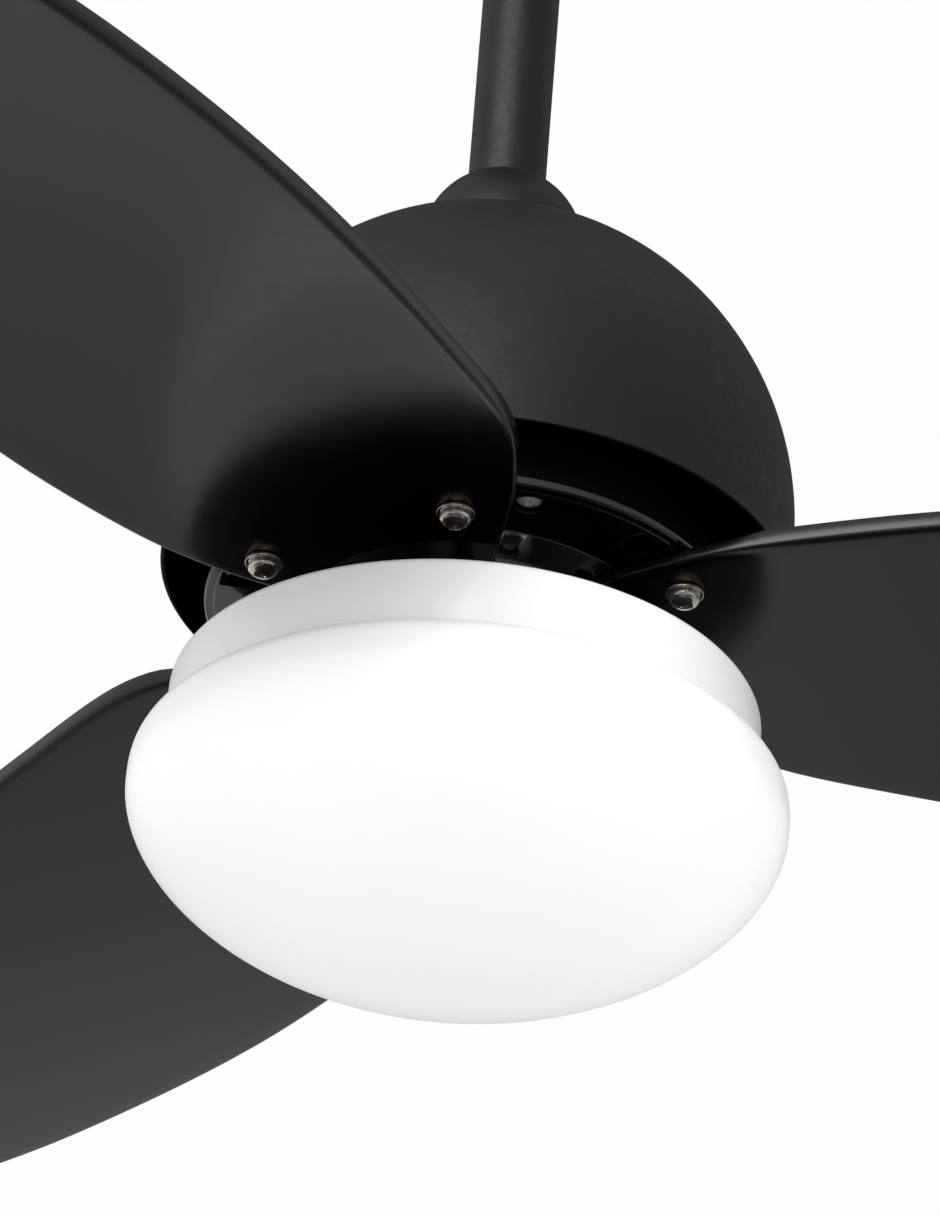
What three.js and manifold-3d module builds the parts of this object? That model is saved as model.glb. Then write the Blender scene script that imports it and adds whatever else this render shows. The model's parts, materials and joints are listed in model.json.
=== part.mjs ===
// Ceiling fan with light: three moulded blades under a domed motor housing on a downrod, with an opal lamp below.
// Millimetres, +Z up. The origin is the centre of the hanger bracket's top face, where it meets the ceiling.
import * as THREE from 'three';
import { mergeVertices } from 'three/addons/utils/BufferGeometryUtils.js';
import Module from 'manifold-3d';

const wasm = await Module();
wasm.setup();

// ---- Driving dimensions -------------------------------------------------------------------------------------
const GAP = 0.3; // between touching pieces
const COARSE = 20; // facets round a small turned piece
const FINE = 36; // facets round a large turned piece
const HOLE = 8; // facets round a screw or a screw hole

// Ceiling side, heights measured down from the ceiling
const BRACKET_LENGTH = 124;
const BRACKET_WIDTH = 28;
const CRADLE_LENGTH = 65; // the U that holds the ball
const CRADLE_WIDTH = 56;
const CRADLE_DEPTH = 56;
const STRAP = 2.5; // bracket steel thickness
const TAB_DEPTH = 16.5;
const BALL_Z = -40;
const BALL_RADIUS = 25;
const BALL_TOP = 14; // the ball is cut flat this far above its centre
const BALL_BOTTOM = -20;
const CANOPY_RADIUS = 66;
const CANOPY_HEIGHT = 68;
const CANOPY_HOLE = 24;
const CANOPY_WALL = 1.5;
const CANOPY_SCREW_Z = -10;
const ROD_SHOWN = 142.8; // length of downrod seen between canopy and coupling cover

// Downrod and coupling
const ROD_RADIUS = 12.7;
const ROD_WALL = 1.8;
const PIN_RADIUS = 3;
const COVER_RADIUS = 26.6; // the coupling cover is part of a sphere
const COVER_CENTRE = 128; // heights from here on are measured up from the dome's rim
const COVER_TOP = 151.2;
const COVER_BASE = 124.4;
const CLEVIS_Z = 130;
const ROD_END = 116.5;
const YOKE_TOP = 138;
const FLANGE_TOP = 121.6;
const FLANGE_SCREWS_AT = 20.5;

// Motor housing and motor
const DOME_RADIUS = 100;
const DOME_SKIRT = 24; // straight part above the rim
const DOME_CROWN = 103; // height of the rounded part
const DOME_WALL = 1.6;
const DOME_HOLE = 17.4;
const SHAFT_RADIUS = 8.5;
const SHAFT_BORE = 5;
const SHAFT_TOP = 111.7;
const SHAFT_END = -44;
const CASE_RADIUS = 82;
const CASE_WALL = 3;
const CASE_BOTTOM = -11.2;
const CASE_SPLIT = 18;
const CASE_TOP = 46;
const BEARING_RADIUS = 20;
const BEARING_HEIGHT = 12;
const LOWER_BEARING_Z = -6;
const UPPER_BEARING_Z = 29;
const STATOR_RADIUS = 69.2;
const STATOR_BOTTOM = 6.5;
const STATOR_TOP = 28.5;
const SLOTS = 12;

// Hub plate and blades
const HUB_RADIUS = 84.8;
const HUB_FACE = -14.5; // flat ring that the blades bolt to
const HUB_PLATE = 3;
const BOSS_RADIUS = 58.5;
const BOSS_BOTTOM = -30;
const BOSS_WALL = 2.5;
const BLADES = 3;
const BLADE_ROOT_Z = -20; // underside of a blade at its root
const BLADE_ROOT_HEIGHT = 5.2;
const BLADE_EDGE_HEIGHT = 7; // upturned rim
const BLADE_PANEL = 3;
const BLADE_RIM = 3;
const BLADE_DROOP = 0.023; // fall per unit of length
const BLADE_TWIST = THREE.MathUtils.degToRad(0.0355); // pitch gained per millimetre
const TWIST_START = 92;
const SCREW_CIRCLE = 75.7;
const SCREW_ANGLE = THREE.MathUtils.degToRad(27.4); // each side of a blade's centre line
const CASE_SCREW_CIRCLE = 74.5;
const CASE_SCREW_ANGLE = THREE.MathUtils.degToRad(44.5);
// Edges of a blade seen from above, from root to tip, along the blade and across it
const LEADING_EDGE = [[50, -41], [67.6, -52.2], [97, -64.6], [146, -77], [196, -82.8], [247, -82.7], [297, -78.6],
  [347, -69], [398, -54], [438, -36], [478, -16.5], [506, -1], [520, 8.5], [526, 17]];
const TRAILING_EDGE = [[35, 29], [53.7, 45.4], [74.4, 60.9], [103.7, 75.2], [154, 83.3], [204, 89.5], [255, 93.1],
  [305, 93.4], [355, 89.9], [404, 81], [450, 66], [490, 48], [512, 36], [523, 27], [526, 21]];

// Light
const ADAPTOR_RADIUS = 46;
const ADAPTOR_PLATE = -34;
const ADAPTOR_FOOT = -46.7;
const PAN_RADIUS = 93;
const PAN_TOP = -47;
const PAN_BOTTOM = -71;
const PAN_WALL = 1.5;
const PAN_SCREWS_AT = 39;
const NECK_RADIUS = 88.2; // diffuser collar inside the pan
const NECK_TOP = -62;
const LUG_Z = -66.4;
const SHOULDER_RADIUS = 103.4;
const SHOULDER_Z = -84;
const SHOULDER_TOP = -71.9;
const BOWL_DEPTH = 54.2;
const DIFFUSER_WALL = 2.4;
const BOARD_RADIUS = 84;
const BOARD_BORE = 50;

const RIM_Z = -(CANOPY_HEIGHT + ROD_SHOWN + COVER_TOP); // the dome's rim below the ceiling

// ---- Materials ----------------------------------------------------------------------------------------------
const finish = (color, roughness, metalness = 0) => new THREE.MeshStandardMaterial({ color, roughness, metalness });
const blackPowder = finish(0x2b2a2e, 0.55);
const blackGloss = finish(0x0b0b0c, 0.15);
const blackMoulded = finish(0x2a292c, 0.4);
const greyPlastic = finish(0x8d9094, 0.5);
const blackPlastic = finish(0x17171a, 0.5);
const whitePaint = finish(0xe6e8ec, 0.4);
const opal = finish(0xfbfbfc, 0.35);
const zincSteel = finish(0xb9bdc2, 0.35, 1);
const nickel = finish(0xb7aca0, 0.18, 1);
const castAluminium = finish(0xa7a9ad, 0.5, 1);
const siliconSteel = finish(0x7c7f84, 0.5, 1);
const copper = finish(0x9a4a22, 0.35, 1);

// ---- Solids -------------------------------------------------------------------------------------------------
function solid(geometry) {
  const bare = geometry.clone();
  bare.deleteAttribute('normal');
  bare.deleteAttribute('uv');
  const merged = mergeVertices(bare, 1e-4);
  const vertProperties = Float32Array.from(merged.attributes.position.array);
  const triVerts = Uint32Array.from(merged.index.array);
  return new wasm.Manifold(new wasm.Mesh({ numProp: 3, vertProperties, triVerts }));
}

function geometryOf(manifold) {
  const { vertProperties, triVerts } = manifold.getMesh();
  const geometry = new THREE.BufferGeometry();
  geometry.setAttribute('position', new THREE.BufferAttribute(Float32Array.from(vertProperties), 3));
  geometry.setIndex(new THREE.BufferAttribute(Uint32Array.from(triVerts), 1));
  geometry.computeVertexNormals();
  return geometry;
}

const join = (...pieces) => geometryOf(pieces.map(solid).reduce((whole, piece) => whole.add(piece)));
const cut = (body, ...tools) => geometryOf(tools.map(solid).reduce((left, tool) => left.subtract(tool), solid(body)));

function piece(name, geometry, material) {
  const mesh = new THREE.Mesh(geometry, material);
  mesh.name = name;
  return mesh;
}

// A body of revolution about Z. The outline is a closed list of [radius, height], anticlockwise.
function turned(outline, facets = COARSE) {
  const ring = [...outline, outline[0]].map(([r, z]) => new THREE.Vector2(r, z));
  return new THREE.LatheGeometry(ring, facets).rotateX(Math.PI / 2);
}

// A solid body of revolution, its outline running from the axis at the bottom to the axis at the top.
function spun(outline, facets = COARSE) {
  return new THREE.LatheGeometry(outline.map(([r, z]) => new THREE.Vector2(r, z)), facets).rotateX(Math.PI / 2);
}

const tube = (outer, inner, bottom, top, facets = COARSE) =>
  turned([[inner, bottom], [outer, bottom], [outer, top], [inner, top]], facets);

function rod(radius, bottom, top, facets = 12) {
  const middle = (bottom + top) / 2;
  return new THREE.CylinderGeometry(radius, radius, top - bottom, facets).rotateX(Math.PI / 2).translate(0, 0, middle);
}

const alongX = (geometry) => geometry.rotateY(Math.PI / 2);
const alongY = (geometry) => geometry.rotateX(-Math.PI / 2);
const box = (x, y, z, at) => new THREE.BoxGeometry(x, y, z).translate(...at);

function polar(radius, angle, geometry) {
  return geometry.translate(radius * Math.cos(angle), radius * Math.sin(angle), 0);
}

// Evenly spread angles, starting at the given one
const spread = (count, start = 0) => Array.from({ length: count }, (_, i) => start + (i * 2 * Math.PI) / count);

// Quarter of a superellipse, from [reach, 0] round to [0, rise]
function quarter(reach, rise, steps, sharpness = [2, 2]) {
  return Array.from({ length: steps + 1 }, (_, i) => {
    const angle = ((i / steps) * Math.PI) / 2;
    const across = Math.max(Math.cos(angle), 0) ** (2 / sharpness[0]);
    return [reach * across, rise * Math.sin(angle) ** (2 / sharpness[1])];
  });
}

// ---- Ceiling side -------------------------------------------------------------------------------------------
function hangerBracket() {
  const plate = box(BRACKET_LENGTH, BRACKET_WIDTH, STRAP, [0, 0, -STRAP / 2]);
  const cradleTop = box(CRADLE_LENGTH, CRADLE_WIDTH, STRAP, [0, 0, -STRAP / 2]);
  const seat = box(CRADLE_LENGTH, CRADLE_WIDTH, STRAP, [0, 0, STRAP / 2 - CRADLE_DEPTH]);
  const sides = [-1, 1].flatMap((side) => [
    box(STRAP, CRADLE_WIDTH, CRADLE_DEPTH, [(side * (CRADLE_LENGTH - STRAP)) / 2, 0, -CRADLE_DEPTH / 2]),
    box(STRAP, BRACKET_WIDTH * 0.7, TAB_DEPTH, [(side * (BRACKET_LENGTH - STRAP)) / 2, 0, -TAB_DEPTH / 2]),
  ]);
  const seatHole = rod(21.6, -CRADLE_DEPTH - 1, -CRADLE_DEPTH + STRAP + 1, COARSE);
  const rodSlot = box(2 * ROD_RADIUS + 4, CRADLE_WIDTH, STRAP + 2, [0, -CRADLE_WIDTH / 2, STRAP / 2 - CRADLE_DEPTH]);
  const wireHole = rod(6, -STRAP - 1, 1).translate(16, 15, 0);
  const slots = [-1, 1].map((side) => box(16, 6, STRAP + 2, [side * 46, 0, -STRAP / 2]));
  const screwHole = alongX(rod(2.2, -BRACKET_LENGTH, BRACKET_LENGTH, HOLE)).translate(0, 0, CANOPY_SCREW_Z);
  return cut(join(plate, cradleTop, seat, ...sides), seatHole, rodSlot, wireHole, ...slots, screwHole);
}

function canopy() {
  const skirt = 27;
  const curve = (radius, depth) => quarter(radius - CANOPY_HOLE, depth, 5).map(([r, z]) => [CANOPY_HOLE + r, -skirt - z]);
  const outer = curve(CANOPY_RADIUS, CANOPY_HEIGHT - skirt).reverse();
  const inner = curve(CANOPY_RADIUS - CANOPY_WALL, CANOPY_HEIGHT - skirt - CANOPY_WALL);
  const bowl = turned([...outer, [CANOPY_RADIUS, -GAP], [CANOPY_RADIUS - CANOPY_WALL, -GAP], ...inner], FINE);
  return cut(bowl, alongX(rod(2.2, -CANOPY_RADIUS - 5, CANOPY_RADIUS + 5, HOLE)).translate(0, 0, CANOPY_SCREW_Z));
}

// A pan-head screw along +Z, its head's underside at the origin and its head below
function panScrew(headRadius, headHeight, shankRadius, length) {
  return spun([[0, -headHeight], [headRadius * 0.62, -headHeight * 0.94], [headRadius, -headHeight * 0.5],
    [headRadius, 0], [shankRadius, 0], [shankRadius, length], [0, length]], HOLE);
}

function canopyScrew(side) {
  const screw = alongX(panScrew(4, 2.4, 1.8, 9)).rotateZ(Math.PI);
  const placed = screw.translate(CANOPY_RADIUS + GAP, 0, CANOPY_SCREW_Z);
  return side > 0 ? placed : placed.rotateZ(Math.PI);
}

function receiver() {
  const [length, width, height] = [52, 26, 15];
  const outline = new THREE.Shape();
  const corner = 4;
  outline.absarc(length / 2 - corner, width / 2 - corner, corner, 0, Math.PI / 2);
  outline.absarc(corner - length / 2, width / 2 - corner, corner, Math.PI / 2, Math.PI);
  outline.absarc(corner - length / 2, corner - width / 2, corner, Math.PI, Math.PI * 1.5);
  outline.absarc(length / 2 - corner, corner - width / 2, corner, Math.PI * 1.5, Math.PI * 2);
  const body = new THREE.ExtrudeGeometry(outline, { depth: height, bevelEnabled: false, curveSegments: 3 });
  return body.translate(0, 0, -STRAP - GAP - height - 1);
}

// ---- Downrod and coupling -----------------------------------------------------------------------------------
function hangerBall() {
  const steps = 6;
  const from = Math.asin(BALL_BOTTOM / BALL_RADIUS);
  const to = Math.asin(BALL_TOP / BALL_RADIUS);
  const outer = Array.from({ length: steps + 1 }, (_, i) => {
    const angle = from + ((to - from) * i) / steps;
    return [BALL_RADIUS * Math.cos(angle), BALL_RADIUS * Math.sin(angle)];
  });
  const bore = ROD_RADIUS + GAP;
  const ball = turned([[bore, BALL_BOTTOM], ...outer, [bore, BALL_TOP]]);
  const pinHole = alongY(rod(PIN_RADIUS + GAP, -BALL_RADIUS, BALL_RADIUS));
  const screwHole = alongX(rod(2.6, 0, BALL_RADIUS + 1, HOLE)).translate(0, 0, 7);
  return cut(ball, pinHole, screwHole).translate(0, 0, BALL_Z);
}

function downrod() {
  const top = BALL_Z + 12;
  const bottom = RIM_Z + ROD_END;
  const pipe = tube(ROD_RADIUS, ROD_RADIUS - ROD_WALL, bottom, top);
  const pinHole = alongY(rod(PIN_RADIUS + GAP, -ROD_RADIUS - 2, ROD_RADIUS + 2)).translate(0, 0, BALL_Z);
  const clevisHole = alongX(rod(PIN_RADIUS + GAP, -ROD_RADIUS - 2, ROD_RADIUS + 2)).translate(0, 0, RIM_Z + CLEVIS_Z);
  return cut(pipe, pinHole, clevisHole);
}

function clevisPin() {
  const pin = rod(PIN_RADIUS, -17, 19);
  const head = rod(4.6, -18.7, -16.9);
  return alongX(join(pin, head)).translate(0, 0, CLEVIS_Z);
}

const clevisClip = () => alongX(turned([[3.3, 17.2], [4.5, 17.2], [4.5, 18.2], [3.3, 18.2]], 12)).translate(0, 0, CLEVIS_Z);

function couplingCover() {
  const arc = (radius, hole) => {
    const from = Math.asin((COVER_BASE - COVER_CENTRE) / radius);
    const to = Math.acos(hole / radius);
    return Array.from({ length: 6 }, (_, i) => {
      const angle = from + ((to - from) * i) / 5;
      return [radius * Math.cos(angle), COVER_CENTRE + radius * Math.sin(angle)];
    });
  };
  const hole = ROD_RADIUS + GAP;
  return turned([...arc(COVER_RADIUS, hole), ...arc(COVER_RADIUS - 1.5, hole).reverse()]);
}

function motorYoke() {
  const body = turned([[SHAFT_RADIUS + GAP, 96], [15, 96], [15, FLANGE_TOP - 4], [24, FLANGE_TOP - 4], [24, FLANGE_TOP],
    [16.5, FLANGE_TOP], [16.5, YOKE_TOP], [ROD_RADIUS + GAP, YOKE_TOP], [ROD_RADIUS + GAP, ROD_END - GAP],
    [SHAFT_BORE, ROD_END - GAP], [SHAFT_BORE, SHAFT_TOP + GAP], [SHAFT_RADIUS + GAP, SHAFT_TOP + GAP]]);
  const pinHole = alongX(rod(PIN_RADIUS + GAP, -20, 20)).translate(0, 0, CLEVIS_Z);
  const setScrewHole = alongY(rod(2.4, 0, 20, HOLE)).translate(0, 0, CLEVIS_Z + 4.5);
  const flangeHoles = spread(3, Math.PI / 2).map((a) => polar(FLANGE_SCREWS_AT, a, rod(2.1, 110, 125, HOLE)));
  return cut(body, pinHole, setScrewHole, ...flangeHoles);
}

// ---- Motor --------------------------------------------------------------------------------------------------
function domeHousing() {
  const curve = (wall, steps) => {
    const points = quarter(DOME_RADIUS - wall, DOME_CROWN - wall, steps).map(([r, z]) => [r, DOME_SKIRT + z]);
    return [...points.filter(([r]) => r > DOME_HOLE + 3), [DOME_HOLE, topAt(DOME_HOLE, wall)]];
  };
  const topAt = (r, wall) => DOME_SKIRT + (DOME_CROWN - wall) * Math.sqrt(1 - (r / (DOME_RADIUS - wall)) ** 2);
  const inner = curve(DOME_WALL, 6).reverse();
  const shell = turned([[DOME_RADIUS - DOME_WALL, 0], [DOME_RADIUS, 0], ...curve(0, 9), ...inner], FINE);
  const holes = spread(3, Math.PI / 2).map((a) => polar(FLANGE_SCREWS_AT, a, rod(2.1, 110, 130, HOLE)));
  return cut(shell, ...holes);
}

const housingScrew = (angle) => polar(FLANGE_SCREWS_AT, angle, panScrew(2.8, 2, 1.7, 9).rotateX(Math.PI)
  .translate(0, 0, 125.8));

const motorShaft = () => tube(SHAFT_RADIUS, SHAFT_BORE, SHAFT_END, SHAFT_TOP);

function bearing(bottom) {
  return tube(BEARING_RADIUS, SHAFT_RADIUS + GAP, bottom, bottom + BEARING_HEIGHT);
}

function statorCore() {
  const outline = new THREE.Shape();
  const slotRadius = 42;
  const slotHalf = 0.11;
  spread(SLOTS).forEach((angle, i) => {
    const toothStart = angle + 0.03;
    const toothEnd = angle + (2 * Math.PI) / SLOTS - 0.03;
    for (const share of [0, 1 / 3, 2 / 3, 1]) {
      const a = THREE.MathUtils.lerp(toothStart, toothEnd, share);
      const [x, y] = [STATOR_RADIUS * Math.cos(a), STATOR_RADIUS * Math.sin(a)];
      if (i === 0 && share === 0) outline.moveTo(x, y);
      else outline.lineTo(x, y);
    }
    const next = angle + (2 * Math.PI) / SLOTS;
    for (const [r, a] of [[64, next - slotHalf / 1.2], [slotRadius, next - slotHalf], [slotRadius, next + slotHalf],
      [64, next + slotHalf / 1.2]]) outline.lineTo(r * Math.cos(a), r * Math.sin(a));
  });
  const bore = new THREE.Path();
  bore.absarc(0, 0, SHAFT_RADIUS + GAP, 0, 2 * Math.PI, true);
  outline.holes.push(bore);
  const depth = STATOR_TOP - STATOR_BOTTOM;
  return new THREE.ExtrudeGeometry(outline, { depth, bevelEnabled: false, curveSegments: 12 })
    .translate(0, 0, STATOR_BOTTOM);
}

function winding(bottom) {
  const [inner, outer, height] = [37, 63, 6];
  return turned([[inner + 2, bottom], [outer - 2, bottom], [outer, bottom + 3], [outer - 2, bottom + height],
    [inner + 2, bottom + height], [inner, bottom + 3]]);
}

const rotorRing = () => tube(CASE_RADIUS - CASE_WALL - GAP, STATOR_RADIUS + 0.8, 2, 34, FINE);

function caseLower() {
  const [inside, seat, hole] = [CASE_RADIUS - CASE_WALL, BEARING_RADIUS + GAP, 10];
  const floor = CASE_BOTTOM + 3.7;
  const shell = turned([[hole, CASE_BOTTOM], [CASE_RADIUS, CASE_BOTTOM], [CASE_RADIUS, CASE_SPLIT - GAP / 2],
    [inside, CASE_SPLIT - GAP / 2], [inside, floor], [seat + 3.7, floor], [seat + 3.7, 5], [seat, 5],
    [seat, LOWER_BEARING_Z - GAP], [hole, LOWER_BEARING_Z - GAP]], FINE);
  const holes = spread(BLADES, CASE_SCREW_ANGLE).map((a) => polar(CASE_SCREW_CIRCLE, a, rod(2.4, -20, 0, HOLE)));
  return cut(shell, ...holes);
}

function caseUpper() {
  const [inside, seat, hole] = [CASE_RADIUS - CASE_WALL, BEARING_RADIUS + GAP, 10];
  const ceiling = CASE_TOP - 3.7;
  const shelf = UPPER_BEARING_Z + BEARING_HEIGHT + GAP;
  return turned([[hole, shelf], [seat, shelf], [seat, UPPER_BEARING_Z + 1], [seat + 3.7, UPPER_BEARING_Z + 1],
    [seat + 3.7, ceiling], [inside, ceiling], [inside, CASE_SPLIT + GAP / 2], [CASE_RADIUS, CASE_SPLIT + GAP / 2],
    [CASE_RADIUS, CASE_TOP - 3], [CASE_RADIUS - 3, CASE_TOP], [hole, CASE_TOP]], FINE);
}

// ---- Rotor outside ------------------------------------------------------------------------------------------
const bladeAngles = spread(BLADES);
const screwPlaces = bladeAngles.flatMap((a) => [a - SCREW_ANGLE, a + SCREW_ANGLE]);

function hubPlate() {
  const top = HUB_FACE + HUB_PLATE;
  const inside = BOSS_RADIUS - BOSS_WALL;
  const plate = turned([[26, BOSS_BOTTOM], [BOSS_RADIUS - 2, BOSS_BOTTOM], [BOSS_RADIUS, BOSS_BOTTOM + 2],
    [BOSS_RADIUS, HUB_FACE - 1], [BOSS_RADIUS + 1, HUB_FACE], [HUB_RADIUS - 1, HUB_FACE], [HUB_RADIUS, HUB_FACE + 1],
    [HUB_RADIUS, top], [inside, top], [inside, BOSS_BOTTOM + BOSS_WALL], [26, BOSS_BOTTOM + BOSS_WALL]], FINE);
  const bladeHoles = screwPlaces.map((a) => polar(SCREW_CIRCLE, a, rod(2.8, -20, 0, HOLE)));
  const caseHoles = [CASE_SCREW_ANGLE, -CASE_SCREW_ANGLE].flatMap((first) => spread(BLADES, first)
    .map((a) => polar(CASE_SCREW_CIRCLE, a, rod(5, -20, 0, 12))));
  return cut(plate, ...bladeHoles, ...caseHoles);
}

const caseScrew = (angle) => polar(CASE_SCREW_CIRCLE, angle, panScrew(4.2, 2, 2, 3.3).translate(0, 0, CASE_BOTTOM - GAP));

// Height of a blade's underside at a place along and across it
function bladeZ(along, across) {
  const pitch = BLADE_TWIST * Math.max(along - TWIST_START, 0);
  return BLADE_ROOT_Z - BLADE_DROOP * Math.max(along - TWIST_START, 0) - across * Math.tan(pitch);
}

// A closed body through equal sections, each a list of corners in the same order
function loft(sections) {
  const corners = sections[0].length;
  const index = [];
  for (let s = 0; s + 1 < sections.length; s += 1) {
    for (let c = 0; c < corners; c += 1) {
      const [a, b] = [s * corners + c, s * corners + ((c + 1) % corners)];
      index.push(a, b, b + corners, a, b + corners, a + corners);
    }
  }
  const last = (sections.length - 1) * corners;
  for (let c = 1; c + 1 < corners; c += 1) {
    index.push(0, c + 1, c, last, last + c, last + c + 1);
  }
  const geometry = new THREE.BufferGeometry();
  geometry.setAttribute('position', new THREE.Float32BufferAttribute(sections.flat(2), 3));
  geometry.setIndex(index);
  return geometry;
}

function bladeEdge(points) {
  return new THREE.SplineCurve(points.map(([along, across]) => new THREE.Vector2(along, across)));
}

// Part of a blade between two heights above its underside, pulled in from both edges and cut at its ends
function bladeLayer(inset, low, high, from, to, steps) {
  const [leading, trailing] = [bladeEdge(LEADING_EDGE), bladeEdge(TRAILING_EDGE)];
  return loft(Array.from({ length: steps + 1 }, (_, i) => {
    const share = THREE.MathUtils.lerp(from, to, i / steps);
    const [front, back] = [leading.getPoint(share), trailing.getPoint(share)];
    const inward = back.clone().sub(front).setLength(inset);
    front.add(inward);
    back.sub(inward);
    const corner = ({ x, y }, lift) => [x, y, bladeZ(x, y) + lift(x)];
    return [corner(front, low), corner(back, low), corner(back, high), corner(front, high)];
  }));
}

function blade() {
  const edgeHeight = (along) => THREE.MathUtils.lerp(BLADE_ROOT_HEIGHT, BLADE_EDGE_HEIGHT,
    THREE.MathUtils.smoothstep(along, 100, 125));
  const body = bladeLayer(0, () => 0, edgeHeight, 0, 1, 24);
  const recess = bladeLayer(BLADE_RIM, () => BLADE_PANEL, () => BLADE_EDGE_HEIGHT + 2, 0.28, 0.96, 14);
  const rootArc = rod(BOSS_RADIUS + 0.8, -40, 0, FINE);
  const holes = [-SCREW_ANGLE, SCREW_ANGLE].map((a) => polar(SCREW_CIRCLE, a, rod(2.8, -40, 0, HOLE)));
  return cut(body, recess, rootArc, ...holes);
}

function bladeScrew() {
  const top = -21.6;
  return spun([[0, top - 4], [3.3, top - 3.7], [4.9, top - 2.2], [4.4, top], [2.4, top],
    [2.4, HUB_FACE + HUB_PLATE - GAP], [0, HUB_FACE + HUB_PLATE - GAP]], 10);
}

const bladeWasher = () => tube(6, 3, -21.3, -20.3, 12);

// ---- Light --------------------------------------------------------------------------------------------------
function lightAdaptor() {
  const [bore, inside] = [SHAFT_RADIUS + GAP, ADAPTOR_RADIUS - 2.5];
  const underPlate = ADAPTOR_PLATE - 2.5;
  const cup = turned([[bore, underPlate], [inside, underPlate], [inside, ADAPTOR_FOOT + 2.5], [34, ADAPTOR_FOOT + 2.5],
    [34, ADAPTOR_FOOT], [ADAPTOR_RADIUS, ADAPTOR_FOOT], [ADAPTOR_RADIUS, ADAPTOR_PLATE], [20, ADAPTOR_PLATE],
    [20, -25], [bore, -25]], FINE);
  return cut(cup, ...spread(3, Math.PI / 2).map((a) => polar(PAN_SCREWS_AT, a, rod(2.1, -50, -40, HOLE))));
}

const shaftNut = () => cut(rod(13, -42, ADAPTOR_PLATE - 2.5 - GAP, 6), rod(SHAFT_RADIUS + GAP, -45, -30, COARSE));

function lightPan() {
  const inside = PAN_RADIUS - PAN_WALL;
  const under = PAN_TOP - PAN_WALL;
  const pan = turned([[12, under], [inside, under], [inside, PAN_BOTTOM], [PAN_RADIUS, PAN_BOTTOM],
    [PAN_RADIUS, PAN_TOP], [12, PAN_TOP]], FINE);
  const ledges = spread(3).map((a) => box(3, 10, 1.2, [inside - 1, 0, PAN_BOTTOM + 2]).rotateZ(a));
  const screwHoles = spread(3, Math.PI / 2).map((a) => polar(PAN_SCREWS_AT, a, rod(2.1, -55, -40, HOLE)));
  const boardHoles = spread(3, Math.PI / 6).map((a) => polar((BOARD_RADIUS + BOARD_BORE) / 2, a, rod(1.9, -55, -40, HOLE)));
  return cut(join(pan, ...ledges), ...screwHoles, ...boardHoles);
}

const panScrewAt = (angle) => polar(PAN_SCREWS_AT, angle, panScrew(3.5, 2.2, 1.7, 4.4)
  .translate(0, 0, PAN_TOP - PAN_WALL - GAP));

const ledDriver = () => box(62, 24, 11, [0, 0, PAN_TOP - PAN_WALL - GAP - 5.5 - 0.4]);

function ledBoard() {
  const top = PAN_TOP - PAN_WALL - GAP;
  const board = tube(BOARD_RADIUS, BOARD_BORE, top - 1.6, top, FINE);
  const middle = (BOARD_RADIUS + BOARD_BORE) / 2;
  return cut(board, ...spread(3, Math.PI / 6).map((a) => polar(middle, a, rod(1.9, top - 5, top + 5, HOLE))));
}

const boardScrewAt = (angle) => polar((BOARD_RADIUS + BOARD_BORE) / 2, angle, panScrew(3, 1.8, 1.5, 4)
  .translate(0, 0, PAN_TOP - PAN_WALL - 2 * GAP - 1.6));

function diffuser() {
  const shell = (wall, bowlSteps, shoulderSteps) => {
    const radius = SHOULDER_RADIUS - wall;
    const bowl = quarter(radius, BOWL_DEPTH - wall, bowlSteps, [1.73, 1.77]).reverse()
      .map(([r, z]) => [r, SHOULDER_Z - z]);
    const collar = NECK_RADIUS - wall;
    const shoulder = quarter(radius - collar, SHOULDER_TOP - SHOULDER_Z - wall, shoulderSteps, [4, 4])
      .map(([r, z]) => [collar + r, SHOULDER_Z + z]);
    return [...bowl, ...shoulder.slice(1)];
  };
  const outer = shell(0, 8, 4);
  const inner = shell(DIFFUSER_WALL, 5, 2).reverse();
  const profile = [...outer, [NECK_RADIUS, NECK_TOP], [NECK_RADIUS - DIFFUSER_WALL, NECK_TOP], ...inner];
  const bowl = spun(profile.map(([r, z]) => [Math.max(r, 0), z]), FINE);
  const lugs = spread(3).map((a) => box(3.5, 10, 1.6, [NECK_RADIUS + 0.8, 0, LUG_Z]).rotateZ(a));
  return join(bowl, ...lugs);
}

// ---- Assembly -----------------------------------------------------------------------------------------------
const fan = new THREE.Group();

const ceilingMount = new THREE.Group();
ceilingMount.add(
  piece('hanger_bracket', hangerBracket(), zincSteel),
  piece('canopy', canopy(), blackPowder),
  piece('canopy_screw_1', canopyScrew(1), nickel),
  piece('canopy_screw_2', canopyScrew(-1), nickel),
  piece('remote_receiver', receiver(), blackPlastic),
);

const suspension = new THREE.Group();
suspension.add(
  piece('cross_pin', alongY(rod(PIN_RADIUS, -22, 22)).translate(0, 0, BALL_Z), zincSteel),
  piece('hanger_ball', hangerBall(), blackPlastic),
  piece('ball_set_screw', alongX(rod(2.3, ROD_RADIUS + GAP, BALL_RADIUS - 3, HOLE)).translate(0, 0, BALL_Z + 7), zincSteel),
  piece('downrod', downrod(), blackPowder),
);

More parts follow.
